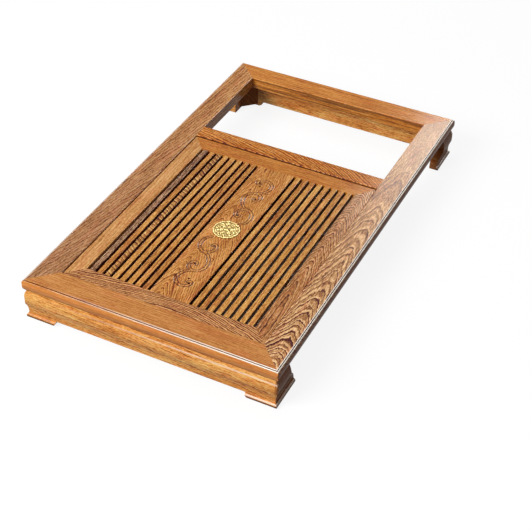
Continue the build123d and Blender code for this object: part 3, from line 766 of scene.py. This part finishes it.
def medallion():
    """A pierced disc: curls on a ground with holes, a beaded rim and a rose in the middle."""
    t = np.linspace(0, 1, 60)
    curls = []
    for ring_r, count, size, first, hand in CURLS:
        r = size * (1 - 0.8 * t)
        for a, x, y in ring_places(ring_r, count, first):
            turned = a + pi + hand * t * CURL_TURNS * 2 * pi
            curls.append(np.stack([x + r * np.cos(turned), y + r * np.sin(turned)], -1))
    holes = [(x, y) for row in HOLES for _, x, y in ring_places(*row)]

    def outline(angle):
        return MEDALLION_R - LOBE_DEEP * (1 - np.abs(np.sin(LOBES / 2 * angle))) ** 2

    def relief(r, angle):
        share = r / outline(angle)
        x, y = r * np.cos(angle), r * np.sin(angle)
        edge = np.full(r.shape, FAR_OFF)
        for curl in curls:
            np.minimum(edge, to_line(x, y, curl, np.full(len(curl), CURL_HALF)), out=edge)
        field = GROUND + CURL_RISE * (1 - eased(-0.2, 0.5, edge))
        hole = to_line(x, y, holes, np.full(len(holes), HOLE_R))
        pierced = GROUND - HOLE_DEEP * (1 - eased(-0.2, 0.2, hole))
        field = np.where(hole < 0.3, np.minimum(field, pierced), field)
        rim = RIM + RIM_RISE * np.sqrt(np.clip(1 - ((share - RIM_AT) / RIM_HALF) ** 2, 0, 1))
        rim += BEAD_RISE * np.cos(BEADS * angle) * (np.abs(share - RIM_AT) < RIM_HALF)
        rose = ROSE_DOME[0] + PETAL_RISE * np.cos(PETALS * angle) * eased(0, 2.5, r)
        rose -= ROSE_DOME[1] * r ** 2
        return np.where(r < ROSE_R, rose, np.where(share > RIM_FROM, rim, field))

    edge_z = FACE_Z + EDGE_LIFT
    back = [(MEDALLION_R, edge_z), (PLUG_R, edge_z), (PLUG_R, SEAT_Z + PLUG_GAP)]
    shape = disc((0, MEDALLION_Y), FACE_Z, outline, relief, back, radial=80, around=432)
    piece("brass_medallion", *shape, BRASS, "slat_panel", "brass", "medallion")


def screw(name, x, y, z, body):
    """A pan-head screw that faces down, with a cross cut in its head."""
    def outline(angle):
        return np.full(angle.shape, SCREW_R)

    def relief(r, angle):
        height, fall = SCREW_DOME
        half, reach, deep = SCREW_CROSS
        u, v = np.abs(r * np.cos(angle)), np.abs(r * np.sin(angle))
        return height - fall * r ** 2 - np.where((np.minimum(u, v) < half) & (r < reach), deep, 0)

    back = [(SCREW_R, z + SCREW_SUNK)]
    shape = disc((x, y), z, outline, relief, back, radial=12, around=48, up=-1)
    piece(name, *shape, SCREW, body, "tray_steel")


def screws():
    """Two in each batten, halfway out under the centre board, and one in each glue block."""
    sides = (("left", LOW, -1), ("right", HIGH, 1))
    for side, _, sign in sides:
        for end in ("front", "back"):
            low, high = corners(f"batten_{end}")
            screw(f"batten_screw_{side}_{end}", sign * BOARD_X / 2, (low[Y] + high[Y]) / 2, low[Z],
                  "slat_panel")
    for side, outer_x, sign_x in sides:
        for end, outer_y, sign_y in (("front", LOW, -1), ("back", HIGH, 1)):
            block = corners(f"corner_block_{end}_{side}")
            screw(f"block_screw_{side}_{end}", block[outer_x][X] - sign_x * BLOCK_SCREW_INSET,
                  block[outer_y][Y] - sign_y * BLOCK_SCREW_INSET, block[LOW][Z], "table_frame")


carved_board()
medallion()
screws()


# ---------------------------------------------------------------- floor, light and camera

AMBIENT = 0.2  # the strength of the white room as a light
PAPER = 0.14  # how pale the floor is for the light that falls on it
GLOW = 0.88  # the floor's own brightness round the table
FLOOR_FADE = (0.8, 2.6)  # metres from the middle over which it turns into the white room
FLOOR_SIZE = 14
FLOOR_Z = -0.0003  # just under the feet


def seen(g):
    """1 for rays that show the surroundings themselves, 0 for those that gather light from them."""
    path = g.node("LightPath").outputs
    return g.math("MAXIMUM", path["Is Camera Ray"],
                  g.math("MAXIMUM", path["Is Glossy Ray"], path["Is Transmission Ray"]))


def floor():
    bpy.ops.mesh.primitive_plane_add(size=FLOOR_SIZE, location=(0, 0, FLOOR_Z))
    plane = bpy.context.object
    plane.name = "floor"
    g = Graph(bpy.data.materials.new("floor_paper"))
    away = g.node("VectorMath", {0: g.node("TexCoord").outputs["Object"]}, operation="LENGTH")
    far = g.along(*FLOOR_FADE, away.outputs["Value"])
    paper = g.node("BsdfDiffuse", {"Color": g.mix(far, grey(PAPER), grey(0.0))})
    brightness = g.add(GLOW, g.times(far, 1 - GLOW))
    glow = g.node("Emission", {"Color": grey(1.0), "Strength": g.times(seen(g), brightness)})
    both = g.node("AddShader", {0: paper.outputs[0], 1: glow.outputs[0]})
    plane.data.materials.append(g.finish(both))


def world():
    """A white room that lights the table only a little."""
    g = Graph(bpy.data.worlds.new("studio"))
    strength = g.add(AMBIENT, g.times(seen(g), 1 - AMBIENT))
    room = g.node("Background", {"Color": grey(1.0), "Strength": strength})
    bpy.context.scene.world = g.finish(room, "OutputWorld")


def softbox(name, place, target, size, power, glossy_only=False):
    data = bpy.data.lights.new(name, "AREA")
    data.shape = "RECTANGLE"
    data.size, data.size_y = size
    data.energy = power
    lamp = bpy.data.objects.new(name, data)
    bpy.context.scene.collection.objects.link(lamp)
    lamp.location = place
    lamp.rotation_euler = (Vector(target) - Vector(place)).to_track_quat("-Z", "Y").to_euler()
    lamp.visible_diffuse = not glossy_only


def camera(eye, azimuth, elevation, roll, lens):
    """The view turns round the Z axis by azimuth from straight in front, looks down by elevation."""
    a, e, r = (radians(v) for v in (azimuth, elevation, roll))
    back = Vector((sin(a) * cos(e), -cos(a) * cos(e), sin(e)))
    right = Vector((0, 0, 1)).cross(back).normalized()
    up = back.cross(right)
    x = cos(r) * right + sin(r) * up
    y = -sin(r) * right + cos(r) * up
    data = bpy.data.cameras.new("camera")
    data.sensor_width = 36
    data.lens = lens
    data.clip_end = 50
    made = bpy.data.objects.new("camera", data)
    bpy.context.scene.collection.objects.link(made)
    made.matrix_world = Matrix.Translation(eye) @ Matrix((x, y, back)).transposed().to_4x4()
    bpy.context.scene.camera = made


floor()
world()
softbox("key", (-1.78, -3.08, 2.64), (0, 0, 0.05), (2.6, 2.0), 195)
softbox("top", (-0.3, 0.6, 2.4), (0, 0, 0.05), (1.6, 1.2), 13)
# These only give the lacquer its sheens: on the back half, and along the edges.
softbox("sheen", (0.04, 2.07, 1.4), (0.04, 2.07, 0.0), (0.92, 1.1), 46, glossy_only=True)
softbox("rim", (-1.75, 1.55, 0.95), (0, 0, 0.08), (0.7, 0.8), 12, glossy_only=True)
softbox("edge_right", (1.38, 2.04, 1.18), (0.2, 0, 0.08), (1.4, 1.2), 32, glossy_only=True)
softbox("edge_front", (-0.68, -2.64, 1.93), (0.05, -0.39, 0.08), (1.4, 1.0), 26, glossy_only=True)
camera(eye=(0.7616, -1.5686, 1.3569), azimuth=25.330, elevation=39.620, roll=1.508, lens=83.16)

bpy.context.scene.view_settings.view_transform = "Standard"
